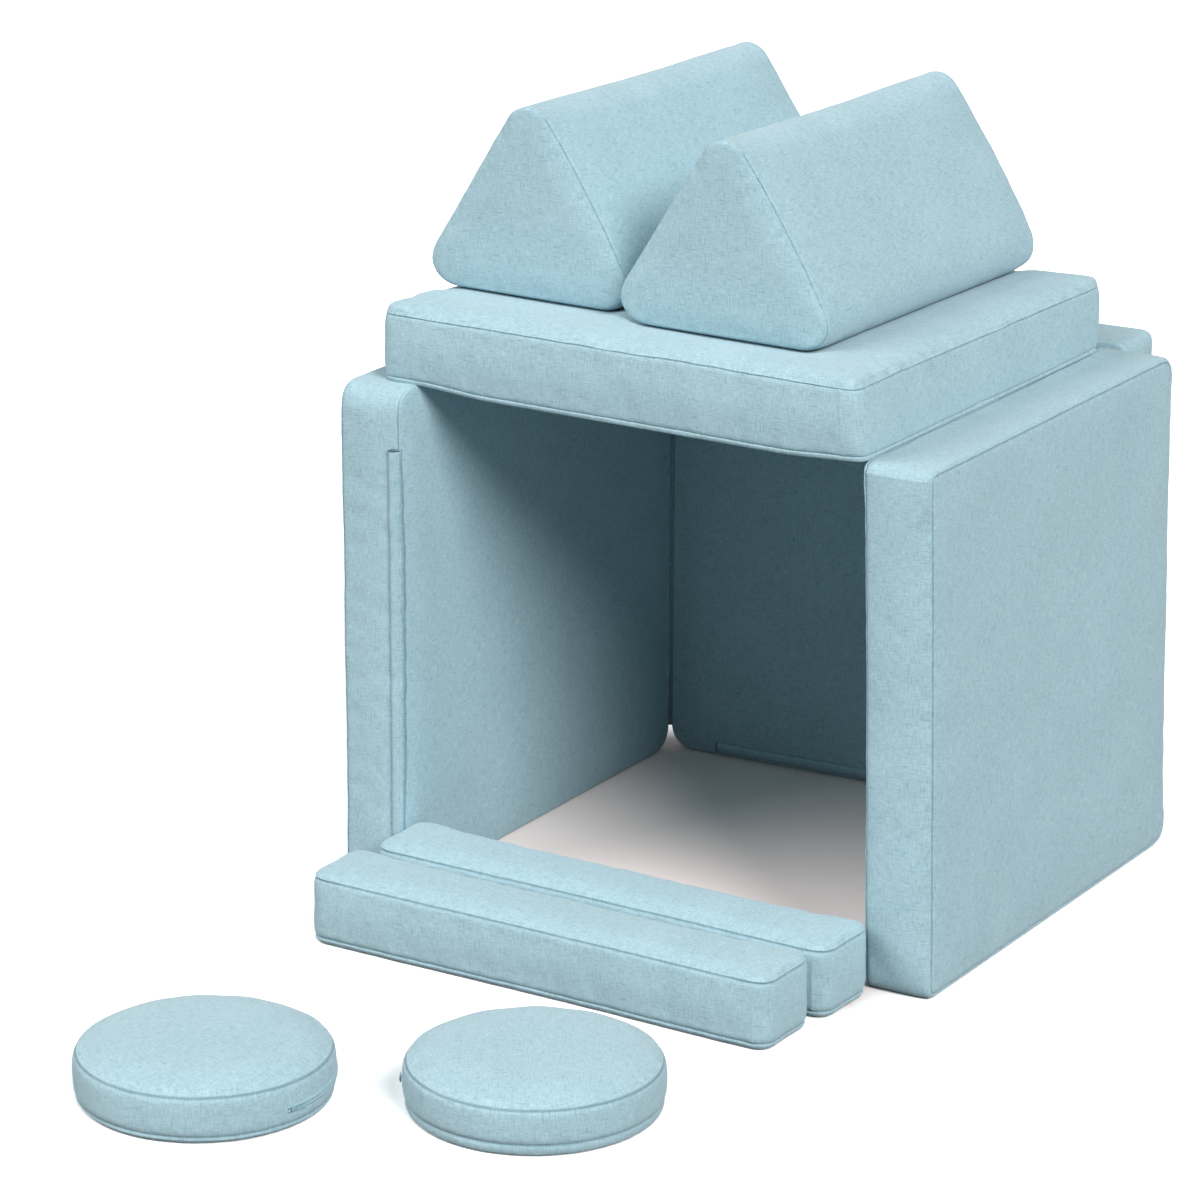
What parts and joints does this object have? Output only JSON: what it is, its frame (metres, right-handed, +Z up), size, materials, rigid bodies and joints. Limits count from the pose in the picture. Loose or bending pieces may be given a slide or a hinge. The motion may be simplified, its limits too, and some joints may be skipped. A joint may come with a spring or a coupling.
{
  "type": "modular foam play sofa",
  "caption": "Modular foam play sofa stood up as a den: folding square panels, a roof cushion, triangular bolsters, bars and round discs in zipped fabric covers.",
  "frame": {"origin": "on the floor, under the middle of the box that holds all the pieces", "axes": "+Z up, the den's mouth faces -Y, +X runs from the folding pair's side panel to the loose panel"},
  "size_m": [1.0168, 1.92, 1.2157],
  "materials": {
    "cover": "matte",
    "foam": "matte",
    "zip": "matte",
    "slider": "satin",
    "fold_seam": "matte"
  },
  "bodies": {
    "left_panel": {"left_panel_cover": "cover", "left_panel_foam_core": "foam", "left_panel_zip": "zip", "fold_seam": "fold_seam"},
    "back_panel": {"back_panel_cover": "cover", "back_panel_foam_core": "foam", "back_panel_zip": "zip"},
    "right_panel": {"right_panel_cover": "cover", "right_panel_foam_core": "foam", "right_panel_zip": "zip"},
    "roof_cushion": {"roof_cushion_cover": "cover", "roof_cushion_foam_core": "foam", "roof_cushion_zip": "zip"},
    "left_bolster": {"left_bolster_cover": "cover", "left_bolster_foam_core": "foam", "left_bolster_zip": "zip"},
    "right_bolster": {"right_bolster_cover": "cover", "right_bolster_foam_core": "foam", "right_bolster_zip": "zip"},
    "front_bar": {"front_bar_cover": "cover", "front_bar_foam_core": "foam", "front_bar_zip": "zip"},
    "rear_bar": {"rear_bar_cover": "cover", "rear_bar_foam_core": "foam", "rear_bar_zip": "zip"},
    "left_disc": {"left_disc_cover": "cover", "left_disc_foam_core": "foam", "left_disc_zip": "zip"},
    "right_disc": {"right_disc_cover": "cover", "right_disc_foam_core": "foam", "right_disc_zip": "zip"},
    "left_panel_slider": {"left_panel_zip_slider": "slider"},
    "back_panel_slider": {"back_panel_zip_slider": "slider"},
    "right_panel_slider": {"right_panel_zip_slider": "slider"},
    "roof_cushion_slider": {"roof_cushion_zip_slider": "slider"},
    "left_bolster_slider": {"left_bolster_zip_slider": "slider"},
    "right_bolster_slider": {"right_bolster_zip_slider": "slider"},
    "front_bar_slider": {"front_bar_zip_slider": "slider"},
    "rear_bar_slider": {"rear_bar_zip_slider": "slider"},
    "left_disc_slider": {"left_disc_zip_slider": "slider"},
    "right_disc_slider": {"right_disc_zip_slider": "slider"}
  },
  "joints": [
    {"name": "fold", "type": "hinge", "parent": "left_panel", "child": "back_panel", "pos_m": [-0.39374, 0.8124, 0], "axis": [0, 0, 1], "range_deg": [0, 87.3]},
    {"name": "right_panel_away", "type": "slide", "parent": "left_panel", "child": "right_panel", "axis": [1, 0, 0], "range_m": [0, 0.4]},
    {"name": "roof_lift", "type": "slide", "parent": "left_panel", "child": "roof_cushion", "axis": [0, 0, 1], "range_m": [0, 0.3]},
    {"name": "left_bolster_lift", "type": "slide", "parent": "roof_cushion", "child": "left_bolster", "axis": [0, 0, 1], "range_m": [0, 0.3]},
    {"name": "right_bolster_lift", "type": "slide", "parent": "roof_cushion", "child": "right_bolster", "axis": [0, 0, 1], "range_m": [0, 0.3]},
    {"name": "front_bar_lift", "type": "slide", "parent": "left_panel", "child": "front_bar", "axis": [0, 0, 1], "range_m": [0, 0.3]},
    {"name": "rear_bar_lift", "type": "slide", "parent": "left_panel", "child": "rear_bar", "axis": [0, 0, 1], "range_m": [0, 0.3]},
    {"name": "left_disc_lift", "type": "slide", "parent": "left_panel", "child": "left_disc", "axis": [0, 0, 1], "range_m": [0, 0.3]},
    {"name": "right_disc_lift", "type": "slide", "parent": "left_panel", "child": "right_disc", "axis": [0, 0, 1], "range_m": [0, 0.3]},
    {"name": "left_panel_zip_run", "type": "slide", "parent": "left_panel", "child": "left_panel_slider", "axis": [0, 0, -1], "range_m": [0, 0.602]},
    {"name": "back_panel_zip_run", "type": "slide", "parent": "back_panel", "child": "back_panel_slider", "axis": [0.9989, 0.0471, 0], "range_m": [0, 0.602]},
    {"name": "right_panel_zip_run", "type": "slide", "parent": "right_panel", "child": "right_panel_slider", "axis": [-0.0035, -1, 0], "range_m": [0, 0.602]},
    {"name": "roof_cushion_zip_run", "type": "slide", "parent": "roof_cushion", "child": "roof_cushion_slider", "axis": [0.9997, -0.0262, 0], "range_m": [0, 0.6765]},
    {"name": "left_bolster_zip_run", "type": "slide", "parent": "left_bolster", "child": "left_bolster_slider", "axis": [-0.0384, -0.9993, 0], "range_m": [0, 0.502]},
    {"name": "right_bolster_zip_run", "type": "slide", "parent": "right_bolster", "child": "right_bolster_slider", "axis": [-0.0349, -0.9994, 0], "range_m": [0, 0.502]},
    {"name": "front_bar_zip_run", "type": "slide", "parent": "front_bar", "child": "front_bar_slider", "axis": [0.9999, -0.014, 0], "range_m": [0, 0.619]},
    {"name": "rear_bar_zip_run", "type": "slide", "parent": "rear_bar", "child": "rear_bar_slider", "axis": [0.9998, -0.0192, 0], "range_m": [0, 0.619]},
    {"name": "left_disc_zip_run", "type": "hinge", "parent": "left_disc", "child": "left_disc_slider", "pos_m": [-0.19974, -0.7776, 0], "axis": [0, 0, 1], "range_deg": [0, 112.5]},
    {"name": "right_disc_zip_run", "type": "hinge", "parent": "right_disc", "child": "right_disc_slider", "pos_m": [0.21226, -0.5706, 0], "axis": [0, 0, -1], "range_deg": [0, 112.5]}
  ]
}
